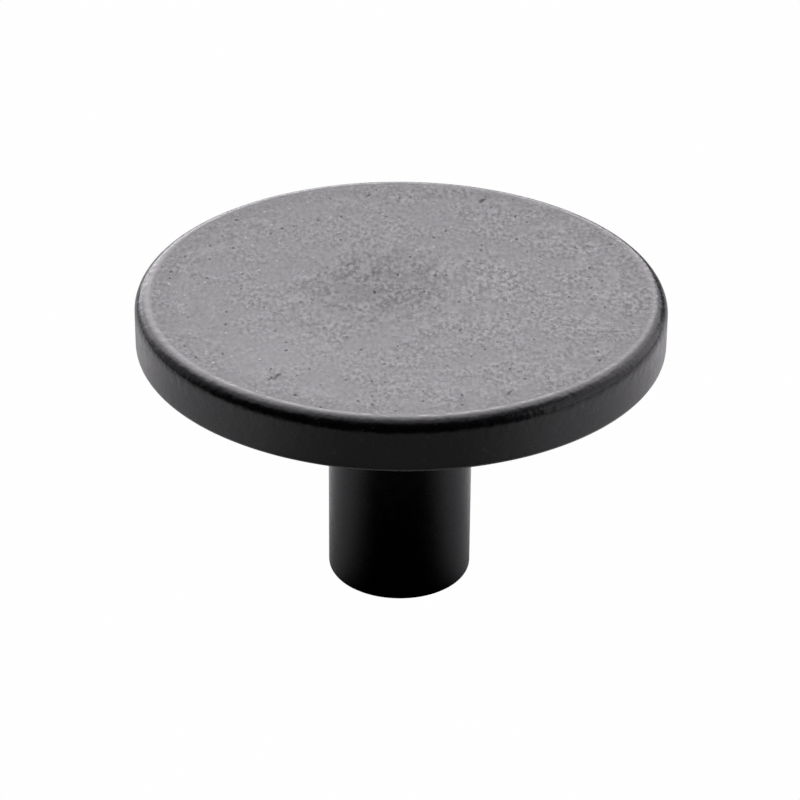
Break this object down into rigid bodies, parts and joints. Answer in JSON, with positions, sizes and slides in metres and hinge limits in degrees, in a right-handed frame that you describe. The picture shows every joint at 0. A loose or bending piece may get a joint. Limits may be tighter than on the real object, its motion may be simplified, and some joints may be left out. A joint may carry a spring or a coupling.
{
  "type": "cabinet knob",
  "caption": "Round cabinet knob with a shallow-dished face, a rolled rim and a plain stem, held to a door or drawer front by a screw from behind.",
  "frame": {"origin": "centre of the foot, on the face that seats on the door", "axes": "+Z out through the dished face, along the screw's axis; X and Y are alike, because the knob is round"},
  "size_m": [0.04, 0.04, 0.024],
  "materials": {
    "black_cast_metal": "satin black coat over fine cast grain, rubbed a little paler along the rim"
  },
  "bodies": {
    "root": {"knob": "black_cast_metal"}
  },
  "joints": []
}
